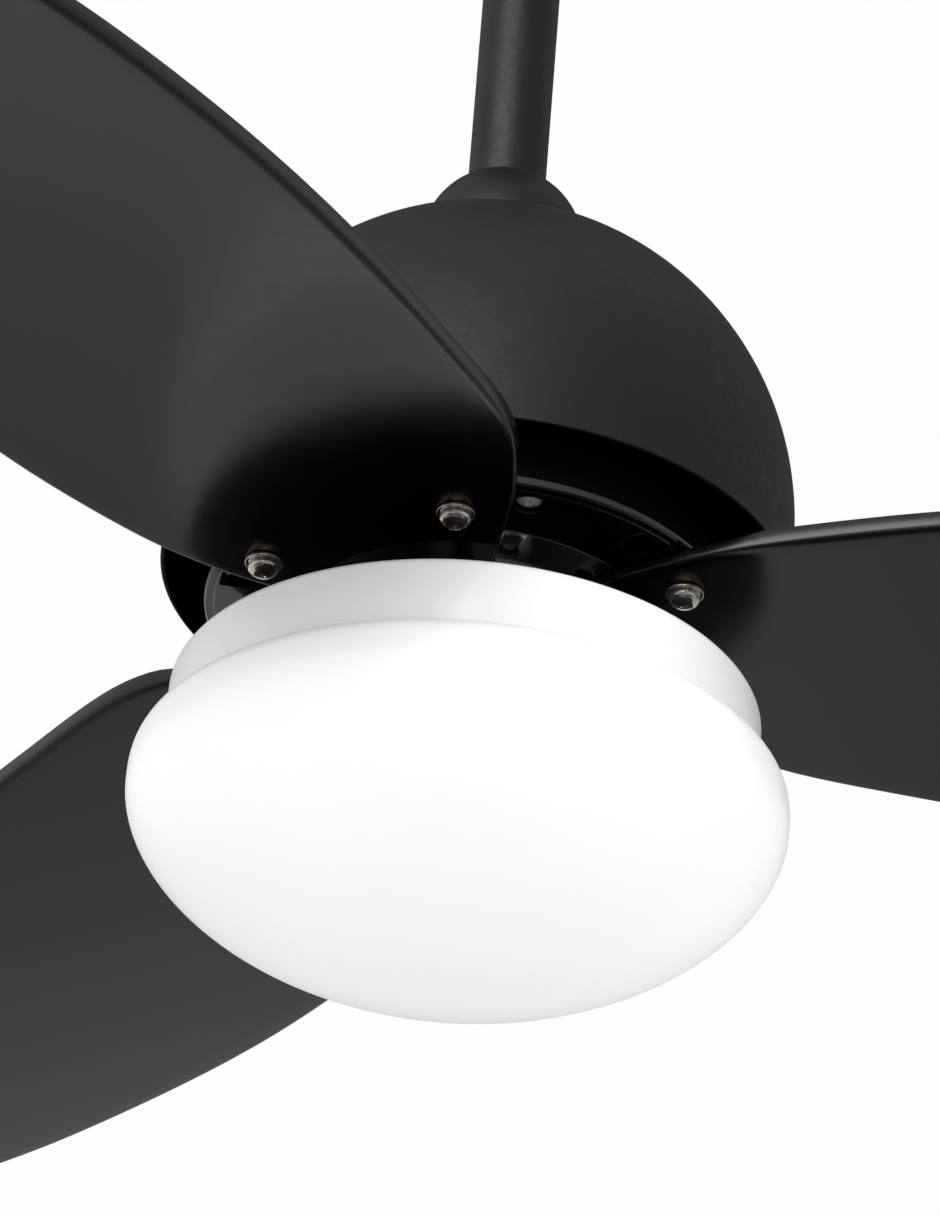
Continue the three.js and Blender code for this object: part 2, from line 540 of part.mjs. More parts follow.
const head = new THREE.Group();
head.position.z = RIM_Z;
head.add(
  piece('clevis_pin', clevisPin(), zincSteel),
  piece('clevis_clip', clevisClip(), zincSteel),
  piece('rod_set_screw', alongY(rod(2, ROD_RADIUS + GAP, 18.6, HOLE)).translate(0, 0, CLEVIS_Z + 4.5), zincSteel),
  piece('coupling_cover', couplingCover(), blackPowder),
  piece('motor_yoke', motorYoke(), castAluminium),
  piece('dome_housing', domeHousing(), blackPowder),
  ...spread(3, Math.PI / 2).map((a, i) => piece(`housing_screw_${i + 1}`, housingScrew(a), zincSteel)),
  piece('motor_shaft', motorShaft(), zincSteel),
  piece('stator_core', statorCore(), siliconSteel),
  piece('winding_upper', winding(STATOR_TOP + GAP), copper),
  piece('winding_lower', winding(STATOR_BOTTOM - GAP - 6), copper),
  piece('bearing_upper', bearing(UPPER_BEARING_Z), zincSteel),
  piece('bearing_lower', bearing(LOWER_BEARING_Z), zincSteel),
);

const rotor = new THREE.Group();
rotor.add(
  piece('rotor_case_upper', caseUpper(), blackPowder),
  piece('rotor_case_lower', caseLower(), blackPowder),
  piece('rotor_ring', rotorRing(), siliconSteel),
  piece('hub_plate', hubPlate(), blackGloss),
  ...spread(BLADES, CASE_SCREW_ANGLE).map((a, i) => piece(`case_screw_${i + 1}`, caseScrew(a), zincSteel)),
);
const bladeShape = blade();
bladeAngles.forEach((angle, i) => {
  const arm = piece(`blade_${i + 1}`, bladeShape, blackMoulded);
  arm.rotation.z = angle;
  rotor.add(arm);
});
screwPlaces.forEach((angle, i) => {
  rotor.add(piece(`blade_screw_${i + 1}`, polar(SCREW_CIRCLE, angle, bladeScrew()), nickel));
  rotor.add(piece(`blade_washer_${i + 1}`, polar(SCREW_CIRCLE, angle, bladeWasher()), nickel));
});

const lamp = new THREE.Group();
lamp.add(
  piece('light_adaptor', lightAdaptor(), blackGloss),
  piece('shaft_nut', shaftNut(), zincSteel),
  piece('light_pan', lightPan(), whitePaint),
  ...spread(3, Math.PI / 2).map((a, i) => piece(`pan_screw_${i + 1}`, panScrewAt(a), zincSteel)),
  piece('led_driver', ledDriver(), greyPlastic),
  piece('led_board', ledBoard(), whitePaint),
  ...spread(3, Math.PI / 6).map((a, i) => piece(`board_screw_${i + 1}`, boardScrewAt(a), zincSteel)),
  piece('diffuser', diffuser(), opal),
);

head.add(rotor, lamp);
fan.add(ceilingMount, suspension, head);

export default fan;
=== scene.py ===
"""Looks of the ceiling fan with light.

Lengths in the shape code are millimetres, and heights are measured from the dome's rim.
"""
import json
import math

import bmesh
import bpy
from mathutils import Matrix, Vector


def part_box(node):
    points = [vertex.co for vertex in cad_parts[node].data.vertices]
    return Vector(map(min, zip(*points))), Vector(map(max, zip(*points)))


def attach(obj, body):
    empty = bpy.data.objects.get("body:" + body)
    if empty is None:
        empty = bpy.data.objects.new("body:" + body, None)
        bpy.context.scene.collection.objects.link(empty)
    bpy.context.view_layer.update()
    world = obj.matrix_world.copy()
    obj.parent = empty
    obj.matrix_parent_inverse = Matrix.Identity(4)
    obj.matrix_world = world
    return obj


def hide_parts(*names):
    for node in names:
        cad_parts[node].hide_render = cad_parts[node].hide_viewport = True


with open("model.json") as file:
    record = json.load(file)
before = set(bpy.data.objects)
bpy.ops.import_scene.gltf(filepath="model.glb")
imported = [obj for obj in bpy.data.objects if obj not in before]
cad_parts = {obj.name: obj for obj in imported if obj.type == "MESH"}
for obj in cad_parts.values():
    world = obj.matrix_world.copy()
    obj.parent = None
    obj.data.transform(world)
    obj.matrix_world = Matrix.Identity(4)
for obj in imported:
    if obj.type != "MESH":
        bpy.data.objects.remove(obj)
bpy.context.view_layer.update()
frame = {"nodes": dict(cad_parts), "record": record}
NODES = frame["nodes"]

MM = 0.001
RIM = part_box("dome_housing")[0].z / MM  # the dome's rim, measured from the ceiling
CEILING = -RIM  # the ceiling, measured from the rim
FINE_ROUND = 192  # facets round the shells that the photo shows from nearest
ROUND = 144  # facets round the other large turned pieces
CREASE = math.radians(38)  # edges that turn more than this stay sharp
THIRD = 120  # degrees between the blades, and between the screws of each ring of three
BLADE_SCREW = (75.7, 27.4)  # distance from the axis, and degrees to either side of the blade's middle
CASE_SCREW = (74.5, 44.5)


# ---- Mesh helpers ----------------------------------------------------------------------------------------
def settle(piece):
    """Closes slits, turns the faces outward, shades them smooth and keeps the creases."""
    bm = bmesh.new()
    bm.from_mesh(piece.data)
    bmesh.ops.remove_doubles(bm, verts=bm.verts, dist=1e-6)
    bmesh.ops.holes_fill(bm, edges=[edge for edge in bm.edges if edge.is_boundary], sides=0)
    bmesh.ops.recalc_face_normals(bm, faces=bm.faces)
    for face in bm.faces:
        face.smooth = True
    for edge in bm.edges:
        edge.smooth = len(edge.link_faces) == 2 and edge.calc_face_angle(0.0) < CREASE
    bm.to_mesh(piece.data)
    bm.free()
    return piece


def build(name, verts, faces):
    """A new piece from corners in millimetres, with heights from the rim."""
    mesh = bpy.data.meshes.new(name)
    mesh.from_pydata([(x * MM, y * MM, (z + RIM) * MM) for x, y, z in verts], [], faces)
    piece = bpy.data.objects.new(name, mesh)
    bpy.context.scene.collection.objects.link(piece)
    return settle(piece)


def soften(outline, rounding, closed, steps):
    """Rounds an outline's corners. A point may carry its own radius as a third number."""
    soft = []
    count = len(outline)
    for i, point in enumerate(outline):
        here = Vector(point[:2])
        radius = point[2] if len(point) > 2 else rounding
        if radius <= 0 or (not closed and i in (0, count - 1)):
            soft.append(here)
            continue
        back = Vector(outline[i - 1][:2]) - here
        ahead = Vector(outline[(i + 1) % count][:2]) - here
        turn = math.pi - back.angle(ahead)
        if turn < math.radians(14):
            soft.append(here)
            continue
        reach = min(radius * math.tan(turn / 2), 0.45 * back.length, 0.45 * ahead.length)
        start, end = here + back.normalized() * reach, here + ahead.normalized() * reach
        for k in range(steps + 1):
            t = k / steps
            soft.append(start * (1 - t) ** 2 + here * (2 * t * (1 - t)) + end * t ** 2)
    return soft


def lathe(name, outline, rounding, facets=ROUND, steps=4):
    """A body turned about Z. Its outline closes on itself, or runs from the axis to the axis."""
    on_axis = outline[0][0] == 0
    points = soften(outline, rounding, not on_axis, steps)
    verts, rings, faces = [], [], []
    for r, z in points:
        if r < 1e-6:
            rings.append([len(verts)] * facets)
            verts.append((0, 0, z))
            continue
        rings.append([len(verts) + i for i in range(facets)])
        for i in range(facets):
            angle = 2 * math.pi * i / facets
            verts.append((r * math.cos(angle), r * math.sin(angle), z))
    pairs = list(zip(rings, rings[1:]))
    if not on_axis:
        pairs.append((rings[-1], rings[0]))
    for low, high in pairs:
        for i in range(facets):
            j = (i + 1) % facets
            face = list(dict.fromkeys([low[i], low[j], high[j], high[i]]))
            if len(face) > 2:
                faces.append(face)
    return build(name, verts, faces)


def prism(name, outline, low, high):
    """A plan outline drawn out between two heights."""
    count = len(outline)
    verts = [(x, y, z) for z in (low, high) for x, y in outline]
    faces = [list(range(count)), list(range(count, 2 * count))]
    faces += [[i, (i + 1) % count, count + (i + 1) % count, count + i] for i in range(count)]
    return build(name, verts, faces)


def turn_to(piece, x=0.0, y=0.0, z=0.0, about_x=0.0, about_y=0.0, about_z=0.0):
    """Turns a piece's mesh about the rim's centre, in degrees, then moves it by millimetres."""
    centre = Matrix.Translation((0, 0, RIM * MM))
    turn = Matrix.Rotation(math.radians(about_z), 4, "Z") @ Matrix.Rotation(math.radians(about_y), 4, "Y")
    turn = turn @ Matrix.Rotation(math.radians(about_x), 4, "X")
    move = Matrix.Translation((x * MM, y * MM, z * MM))
    piece.data.transform(centre @ move @ turn @ centre.inverted())
    return piece


def applied(piece):
    """Puts a piece's modifiers into its mesh."""
    view = bpy.context.evaluated_depsgraph_get()
    mesh = bpy.data.meshes.new_from_object(piece.evaluated_get(view))
    piece.modifiers.clear()
    piece.data = mesh
    return settle(piece)


def mark_painted_shade(piece, test):
    """Stores test(radius, height) at each corner as the share of painted shade there: 1 on a shell's inner
    faces, 0 on its outside.
    """
    marks = piece.data.attributes.new("inside", "FLOAT", "POINT")
    for vert, mark in zip(piece.data.vertices, marks.data):
        at = vert.co / MM
        mark.value = float(test(math.hypot(at.x, at.y), at.z - RIM))
    return piece


def merged(name, pieces):
    """Several meshes as one piece."""
    bm = bmesh.new()
    for part in pieces:
        bm.from_mesh(part.data)
        bpy.data.objects.remove(part)
    mesh = bpy.data.meshes.new(name)
    bm.to_mesh(mesh)
    bm.free()
    piece = bpy.data.objects.new(name, mesh)
    bpy.context.scene.collection.objects.link(piece)
    return settle(piece)


def cut(piece, cutters, operation="DIFFERENCE"):
    """Takes the cutters away from the piece, or adds them to it by UNION, and removes them."""
    for cutter in cutters:
        modifier = piece.modifiers.new("cut", "BOOLEAN")
        modifier.operation = operation
        modifier.solver = "EXACT"
        modifier.object = cutter
    applied(piece)
    for cutter in cutters:
        bpy.data.objects.remove(cutter)
    return piece


def bevel(piece, width, angle, segments):
    """Rounds the edges that turn by more than the angle, in degrees."""
    modifier = piece.modifiers.new("bevel", "BEVEL")
    modifier.width = width * MM
    modifier.segments = segments
    modifier.limit_method = "ANGLE"
    modifier.angle_limit = math.radians(angle)
    modifier.use_clamp_overlap = True
    return applied(piece)


def drill(radius, low, high, facets=20):
    """A cylinder along Z, to cut a round hole with."""
    return lathe("drill", [(0, low), (radius, low), (radius, high), (0, high)], 0, facets)


def rectangle(x, y):
    return [(-x / 2, -y / 2), (x / 2, -y / 2), (x / 2, y / 2), (-x / 2, y / 2)]


def polar(radius, degrees):
    """X and Y of a point at a distance from the axis."""
    angle = math.radians(degrees)
    return radius * math.cos(angle), radius * math.sin(angle)


def quarter(reach, rise, steps, sharpness=(2, 2)):
    """Quarter of a superellipse from (reach, 0) round to (0, rise)."""
    points = []
    for i in range(steps + 1):
        angle = math.pi / 2 * i / steps
        across = max(math.cos(angle), 0.0) ** (2 / sharpness[0])
        points.append((reach * across, rise * math.sin(angle) ** (2 / sharpness[1])))
    points[-1] = (0.0, rise)
    return points


def smooth(value, low, high):
    """An S-shaped step from 0 at low to 1 at high."""
    t = min(max((value - low) / (high - low), 0.0), 1.0)
    return t * t * (3 - 2 * t)


# ---- Materials -------------------------------------------------------------------------------------------
class Surface:
    """A procedural material round one Principled shader."""

    def __init__(self, name, colour, roughness, metallic=0.0, **sockets):
        self.material = bpy.data.materials.new(name)
        self.material.use_nodes = True
        self.tree = self.material.node_tree
        self.shader = self.tree.nodes["Principled BSDF"]
        self.shader.inputs["Base Color"].default_value = (*colour, 1)
        self.shader.inputs["Roughness"].default_value = roughness
        self.shader.inputs["Metallic"].default_value = metallic
        for key, value in sockets.items():
            self.shader.inputs[key.replace("_", " ")].default_value = value
        self.where = self.tree.nodes.new("ShaderNodeTexCoord").outputs["Object"]
        self.last_bump = None

    def node(self, kind, inputs=None, **settings):
        """A new node. Its inputs are values, or other nodes' outputs to link."""
        made = self.tree.nodes.new(kind)
        for key, value in settings.items():
            setattr(made, key, value)
        for key, value in (inputs or {}).items():
            socket = made.inputs[key]
            if isinstance(value, bpy.types.NodeSocket):
                self.tree.links.new(value, socket)
            else:
                socket.default_value = value
        return made

    def link(self, output, name):
        self.tree.links.new(output, self.shader.inputs[name])

    def inside(self):
        """The share of painted shade stored at each corner."""
        return self.node("ShaderNodeAttribute", attribute_name="inside").outputs["Fac"]

    def noise(self, size, detail=3.0, rough=0.55, where=None):
        """Noise whose features are about this many millimetres across."""
        inputs = {"Vector": where or self.where, "Scale": 1 / (size * MM)}
        inputs.update({"Detail": detail, "Roughness": rough})
        return self.node("ShaderNodeTexNoise", inputs).outputs["Fac"]

    def wave(self, kind, scale, distortion, detail):
        """Even bands up Z, or even rings round it."""
        inputs = {"Vector": self.where, "Scale": scale, "Distortion": distortion, "Detail": detail}
        settings = {"wave_type": kind, f"{kind.lower()}_direction": "Z"}
        return self.node("ShaderNodeTexWave", inputs, **settings).outputs["Fac"]

    def spread(self, value, low, high, from_low=0.3, from_high=0.7):
        """The value's range, most of a noise's unless told otherwise, stretched between low and high."""
        inputs = {"Value": value, "From Min": from_low, "From Max": from_high}
        inputs.update({"To Min": low, "To Max": high})
        return self.node("ShaderNodeMapRange", inputs).outputs["Result"]

    def blend(self, factor, first, second):
        """A colour between two colours."""
        made = self.node("ShaderNodeMix", data_type="RGBA")
        self.tree.links.new(factor, made.inputs[0])
        for slot, value in ((6, first), (7, second)):
            if isinstance(value, bpy.types.NodeSocket):
                self.tree.links.new(value, made.inputs[slot])
            else:
                made.inputs[slot].default_value = (*value, 1)
        return made.outputs[2]

    def clouds(self, size, first, second, detail=3.0, rough=0.55):
        """A colour that drifts between two colours."""
        return self.blend(self.spread(self.noise(size, detail, rough), 0, 1), first, second)

    def uneven(self, size, low, high, detail=3.0):
        """Gives the surface a roughness that drifts between two values."""
        self.link(self.spread(self.noise(size, detail), low, high), "Roughness")

    def glow(self, strength):
        """Gives the surface a little white light of its own."""
        self.shader.inputs["Emission Color"].default_value = (1, 1, 1, 1)
        self.shader.inputs["Emission Strength"].default_value = strength

    def bump(self, height, strength, distance):
        """Adds a relief this many millimetres deep to those already there."""
        inputs = {"Height": height, "Strength": strength, "Distance": distance * MM}
        if self.last_bump:
            inputs["Normal"] = self.last_bump
        self.last_bump = self.node("ShaderNodeBump", inputs).outputs["Normal"]
        self.link(self.last_bump, "Normal")


def scaled(colour, factor):
    return [min(channel * factor, 1) for channel in colour]


def powder(name, colour, roughness):
    """Powder coat: a fine orange peel and faint clouds. Where a shell is marked, the colour is painted
    near-black and the reflection dimmed, as painted shade.
    """
    made = Surface(name, colour, roughness)
    inside = made.inside()
    coat = made.clouds(38, scaled(colour, 0.86), scaled(colour, 1.18), 4)
    # painted shade: near-black colour and a dimmed reflection where the shell is marked
    made.link(made.blend(inside, coat, (0.0012, 0.0012, 0.0013)), "Base Color")
    made.link(made.spread(inside, 0.42, 0.06, 0, 1), "Specular IOR Level")
    made.uneven(2.6, roughness - 0.05, roughness + 0.06)
    made.bump(made.noise(1.1, 2), 0.16, 0.12)
    made.bump(made.noise(5.5, 2), 0.08, 0.25)
    return made.material


def gloss_black():
    """Polished black moulding with light handling marks."""
    made = Surface("hub_gloss", (0.0022, 0.0022, 0.0024), 0.09, Coat_Weight=0.8, Coat_Roughness=0.04)
    made.uneven(9, 0.055, 0.13, 5)
    made.link(made.clouds(30, (0.0016, 0.0016, 0.0018), (0.0032, 0.003, 0.0033)), "Base Color")
    made.bump(made.noise(16, 2), 0.05, 0.3)
    return made.material


def moulded_black():
    """Satin black blades: a fine grain over slight waves."""
    made = Surface("blade_black", (0.0025, 0.0023, 0.0028), 0.32)
    clouds = made.clouds(70, (0.002, 0.0018, 0.0022), (0.0032, 0.0029, 0.0035), 5, 0.6)
    made.link(clouds, "Base Color")
    made.uneven(9, 0.22, 0.27, 4)
    made.bump(made.noise(0.9, 2), 0.1, 0.06)
    made.bump(made.noise(45, 2), 0.05, 0.5)
    return made.material


def nylon(name, colour):
    """Moulded plastic with a fine matt grain."""
    made = Surface(name, colour, 0.55)
    made.uneven(4, 0.48, 0.62)
    made.link(made.clouds(25, scaled(colour, 0.85), scaled(colour, 1.2)), "Base Color")
    made.bump(made.noise(0.8, 2), 0.2, 0.06)
    return made.material


def white_paint():
    """White paint, turned near-black by painted shade where the pan is marked."""
    made = Surface("white_paint", (0.86, 0.865, 0.88), 0.34, Coat_Weight=0.15, Coat_Roughness=0.12)
    coat = made.clouds(80, (0.87, 0.875, 0.885), (0.9, 0.905, 0.915), 2)
    # painted shade: near-black where the pan is marked, on its top and within it, and a thin line on its
    # lower edge
    made.link(made.blend(made.inside(), coat, (0.02, 0.02, 0.021)), "Base Color")
    made.uneven(3, 0.3, 0.38)
    made.bump(made.noise(2.2, 2), 0.06, 0.1)
    return made.material


def opal_plastic():
    """Opal acrylic with a faint painted glow, which brightens it beyond the light that reaches it, and a
    soft skin.
    """
    made = Surface("opal", (0.95, 0.95, 0.955), 0.33, Subsurface_Weight=0.25, Subsurface_Scale=0.004,
                   Subsurface_Radius=(1.0, 0.96, 0.92), Specular_IOR_Level=0.25)
    # painted light: a faint glow that brightens the bowl
    made.glow(0.1)
    made.link(made.clouds(60, (0.9, 0.898, 0.905), (0.94, 0.936, 0.94)), "Base Color")
    made.uneven(5, 0.29, 0.38)
    made.bump(made.noise(1.6, 2), 0.03, 0.05)
    return made.material


def board_white():
    """White solder mask over copper tracks, with the faint print of a ring of pads."""
    made = Surface("board_white", (0.82, 0.83, 0.82), 0.3)
    rings = made.wave("RINGS", 180.0, 1.5, 1.0)
    print_edge = made.spread(rings, 0, 1, 0.45, 0.55)
    made.link(made.blend(print_edge, (0.8, 0.81, 0.8), (0.86, 0.865, 0.85)), "Base Color")
    made.bump(rings, 0.1, 0.05)
    return made.material


def plated(name, colour, roughness, scratch=0.35, metallic=1.0):
    """Plated steel with fine scratches and slight clouding."""
    made = Surface(name, colour, roughness, metallic)
    along = made.node("ShaderNodeMapping", {"Vector": made.where, "Scale": (1, 1, 6)}).outputs["Vector"]
    scratches = made.noise(0.7, 4, where=along)
    made.link(made.spread(scratches, roughness * 0.7, roughness * 1.6), "Roughness")
    made.link(made.clouds(3.5, scaled(colour, 0.8), scaled(colour, 1.12)), "Base Color")
    made.bump(scratches, scratch * 0.3, 0.03)
    return made.material


def cast():
    """Cast aluminium with a grainy skin."""
    made = Surface("cast_aluminium", (0.42, 0.43, 0.45), 0.5, 1.0)
    made.uneven(1.8, 0.38, 0.62, 4)
    made.link(made.clouds(12, (0.34, 0.35, 0.37), (0.5, 0.51, 0.52), 4), "Base Color")
    made.bump(made.noise(1.0, 4), 0.35, 0.15)
    return made.material


def laminated():
    """Stacked steel sheets."""
    made = Surface("silicon_steel", (0.2, 0.21, 0.23), 0.45, 0.9)
    sheets = made.wave("BANDS", 320.0, 0.6, 1.0)
    made.link(made.blend(sheets, (0.1, 0.1, 0.115), (0.26, 0.27, 0.29)), "Base Color")
    made.uneven(2, 0.36, 0.56)
    made.bump(sheets, 0.5, 0.15)
    return made.material


def wound_copper():
    """Enamelled wire wound round the teeth."""
    made = Surface("copper_wire", (0.38, 0.1, 0.03), 0.3, 0.85, Coat_Weight=0.5, Coat_Roughness=0.1)
    turns = made.wave("RINGS", 260.0, 2.5, 2.0)
    made.link(made.blend(turns, (0.14, 0.03, 0.01), (0.5, 0.15, 0.05)), "Base Color")
    made.bump(turns, 0.7, 0.3)
    return made.material


LOOKS = {
    "black_powder": powder("black_powder", (0.0046, 0.0036, 0.0058), 0.55),
    "rod_black": powder("rod_black", (0.003, 0.0027, 0.0034), 0.46),
    "hub_gloss": gloss_black(),
    "blade_black": moulded_black(),
    "black_nylon": nylon("black_nylon", (0.02, 0.02, 0.022)),
    "grey_plastic": nylon("grey_plastic", (0.26, 0.28, 0.3)),
    "white_paint": white_paint(),
    "opal": opal_plastic(),
    "board_white": board_white(),
    "zinc": plated("zinc", (0.72, 0.74, 0.78), 0.26, metallic=0.55),
    "nickel": plated("nickel", (0.9, 0.84, 0.76), 0.09, 0.1, 0.95),
    "cast_aluminium": cast(),
    "silicon_steel": laminated(),
    "copper_wire": wound_copper(),
}
SLOT_OF = {row["node"]: row["material_slot"] for row in frame["record"]["subparts"]}
BODY_OF = {node: body for body, nodes in frame["record"]["behaviour"]["bodies"].items() for node in nodes}


def stands_for(piece, *nodes):
    """The piece is shown in the nodes' place, in their finish and on their body."""
    slot = SLOT_OF[nodes[0]]
    piece.data.materials.clear()
    piece.data.materials.append(LOOKS[slot])
    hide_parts(*nodes)
    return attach(piece, BODY_OF[nodes[0]])


# ---- Camera and light ------------------------------------------------------------------------------------
CAMERA_PLACE = Vector((0.1147, -2.0514, -1.6046))
CAMERA_TURN, CAMERA_PITCH, CAMERA_ROLL = 0.05635054, 0.5408, 0.0792  # radians
CAMERA_LENS, CAMERA_SENSOR = 224.8, 36  # millimetres
LAMPS = (  # name, place in metres, width, height, power, seen in reflections
    ("key", (-1.0, -2.4, 0.65), 2.4, 1.6, 52, True),
    ("strip", (0.2, -2.7, -1.15), 3.0, 0.06, 8, True),
    ("fill", (-1.6, -2.2, 0.3), 1.6, 1.2, 10, False),
    ("side", (2.5, -0.4, -0.5), 1.2, 0.8, 11, False),
)
BACKDROP = 0.985  # brightness of the room behind the fan
FLOOR_DEPTH, FLOOR_SIZE = 16, 240  # metres


def aim(name, data, place, target, roll=0.0):
    """Puts a camera or a lamp in its place, looking at the target."""
    holder = bpy.data.objects.new(name, data)
    bpy.context.scene.collection.objects.link(holder)
    look = (Vector(target) - Vector(place)).to_track_quat("-Z", "Y").to_matrix().to_4x4()
    holder.matrix_world = Matrix.Translation(place) @ look @ Matrix.Rotation(roll, 4, "Z")
    return holder


def make_camera():
    """A long lens below the fan, looking up at it."""
    data = bpy.data.cameras.new("camera")
    data.sensor_width = CAMERA_SENSOR
    data.lens = CAMERA_LENS
    data.clip_end = 100
    ahead = Vector((-math.sin(CAMERA_TURN), math.cos(CAMERA_TURN), math.tan(CAMERA_PITCH)))
    target = CAMERA_PLACE + ahead.normalized()
    bpy.context.scene.camera = aim("camera", data, CAMERA_PLACE, target, CAMERA_ROLL)


def softbox(name, place, width, height, power, mirrored):
    """A rectangular lamp that looks at the dome's rim and that the camera doesn't see."""
    data = bpy.data.lights.new(name, "AREA")
    data.shape = "RECTANGLE"
    data.size, data.size_y = width, height
    data.energy = power
    holder = aim(name, data, place, (0, 0, RIM * MM))
    holder.visible_camera = False
    holder.visible_glossy = mirrored


def make_world():
    """A white room, dimmer overhead.

    What the fan mirrors of it is darker still: low down, far up ahead, on the right, and below the viewer.
    """
    world = bpy.data.worlds.new("room")
    bpy.context.scene.world = world
    world.use_nodes = True
    tree = world.node_tree
    tree.nodes.clear()

    def node(kind, inputs=()):
        made = tree.nodes.new(kind)
        if kind == "ShaderNodeMath":
            made.operation = "MULTIPLY"
        for key, value in dict(inputs).items():
            if isinstance(value, bpy.types.NodeSocket):
                tree.links.new(value, made.inputs[key])
            else:
                made.inputs[key].default_value = value
        return made

    def ramp(value, low, high, at_low, at_high):
        inputs = {"Value": value, "From Min": low, "From Max": high, "To Min": at_low, "To Max": at_high}
        return node("ShaderNodeMapRange", inputs).outputs["Result"]

    path = node("ShaderNodeLightPath").outputs
    where = node("ShaderNodeTexCoord").outputs["Generated"]
    across, ahead, height = node("ShaderNodeSeparateXYZ", {"Vector": where}).outputs
    tipped = node("ShaderNodeMath", {0: ahead, 1: height})
    tipped.operation = "ADD"
    up_ahead = tipped.outputs["Value"]
    around = ramp(height, 0.3, 0.9, 0.98, 0.3)
    mirrored = ramp(height, -0.45, 0.1, 0.42, 0.62)
    shades = (
        ramp(up_ahead, 1.0, 1.3, 1, 0.2),
        ramp(across, 0.2, 0.9, 1, 0.6),
        ramp(up_ahead, -1.1, -0.5, 0.14, 1),
    )
    for shade in shades:
        mirrored = node("ShaderNodeMath", {0: mirrored, 1: shade}).outputs["Value"]
    strength = node("ShaderNodeMix", {0: path["Is Glossy Ray"], 2: around, 3: mirrored}).outputs[0]
    seen = node("ShaderNodeBackground", {"Color": (BACKDROP, BACKDROP, BACKDROP, 1)}).outputs[0]
    lit = node("ShaderNodeBackground", {"Color": (1, 1, 1, 1), "Strength": strength}).outputs[0]
    whole = node("ShaderNodeMixShader", {0: path["Is Camera Ray"], 1: lit, 2: seen}).outputs[0]
    node("ShaderNodeOutputWorld", {"Surface": whole})


def make_floor():
    """A plain pale floor, far below, that neither lights the fan nor shows in it."""
    bpy.ops.mesh.primitive_plane_add(size=FLOOR_SIZE, location=(0, 0, -FLOOR_DEPTH))
    floor = bpy.context.object
    floor.name = "floor"
    made = Surface("floor", (0.86, 0.86, 0.86), 0.7)
    made.link(made.clouds(900, (0.85, 0.85, 0.85), (0.87, 0.87, 0.87)), "Base Color")
    made.glow(0.35)
    floor.data.materials.append(made.material)
    floor.visible_glossy = floor.visible_diffuse = False


make_camera()
make_world()
make_floor()
for lamp in LAMPS:
    softbox(*lamp)
bpy.context.scene.view_settings.view_transform = "Standard"


# ---- Screws ----------------------------------------------------------------------------------------------
def cross_recess(reach, depth, face):
    """The cutter for a cross recess opening downward at the given height."""
    slim, taper = reach * 0.26, 0.34
    quadrant = [(reach, slim), (slim, slim), (slim, reach)]
    arms = []
    for _ in range(4):
        arms += quadrant
        quadrant = [(-y, x) for x, y in quadrant]
    cutter = prism("recess", arms, -1.0, depth)
    for vert in cutter.data.vertices:
        if vert.co.z > RIM * MM:
            vert.co.x *= taper
            vert.co.y *= taper
    return turn_to(cutter, z=face)


def screw_below(name, outline, facets, reach, depth):
    """A screw with its head down. The outline runs from the axis at the bottom to the axis at the top."""
    face = outline[0][1]
    return cut(lathe(name, outline, 0.25, facets, 3), [cross_recess(reach, depth, face)])


def pan_head(radius, height, shank, length, seat):
    """Outline of a pan head under its seat and the shank above."""
    low = seat - height
    crown = ((0, 0), (0.3, 0.02), (0.58, 0.1), (0.8, 0.24), (0.94, 0.45), (1, 0.7))
    head = [(radius * out, low + height * up) for out, up in crown]
    return head + [(radius * 0.98, seat), (shank, seat), (shank, seat + length), (0, seat + length)]


# ---- Outer shells ----------------------------------------------------------------------------------------
def drilled_ring(radius, distance, start, low, high):
    """Three cutters for holes round the axis, the first at this many degrees."""
    places = [polar(distance, start + THIRD * i) for i in range(3)]
    return [turn_to(drill(radius, low, high), x, y) for x, y in places]


def dome():
    """A straight skirt under half an ellipsoid, open at the top round the rod's coupling."""
    wall, skirt, crown, radius, hole = 1.6, 24, 103, 100, 17.4

    def shell(inset, steps):
        points = [(r, skirt + z) for r, z in quarter(radius - inset, crown - inset, steps)]
        top = skirt + (crown - inset) * math.sqrt(1 - (hole / (radius - inset)) ** 2)
        return [p for p in points if p[0] > hole + 1] + [(hole, top)]

    # painted shade: the shell's inner faces, within its middle surface, are painted near-black
    def within(r, z):
        middle = wall / 2
        return (r / (radius - middle)) ** 2 + (max(z - skirt, 0) / (crown - middle)) ** 2 < 1

    outline = [(radius - wall, 0, 0.3), (radius, 0, 0.5), *shell(0, 48), *reversed(shell(wall, 40))]
    piece = lathe("dome_shell", outline, 0.0, FINE_ROUND)
    cut(piece, drilled_ring(2.1, 20.5, 90, 110, 130))
    # the inner faces get painted shade
    return mark_painted_shade(piece, within)


def hub():
    """The plate the blades bolt to: a lipped rim, a step in from it, and a boss."""
    outline = [(26, -30), (58.5, -30, 1.6), (58.5, -14.5, 0.9), (81.6, -14.5, 0.3), (82.0, -14.1, 0.3),
               (84.2, -14.1, 0.2), (84.9, -13.5, 0.4), (84.9, -10.2, 0.4), (82.6, -10.2, 0.2),
               (82.6, -11.5, 0.2), (56, -11.5), (56, -27.5, 1.0), (26, -27.5)]
    piece = lathe("hub_plate_turned", outline, 0.35, FINE_ROUND)
    holes = []
    for i in range(3):
        for side in (-1, 1):
            for radius, (distance, degrees), facets in ((2.8, BLADE_SCREW, 24), (5, CASE_SCREW, 40)):
                x, y = polar(distance, THIRD * i + side * degrees)
                holes.append(turn_to(drill(radius, -20, 0, facets), x, y))
    cut(piece, holes)
    return bevel(piece, 0.35, 60, 2)


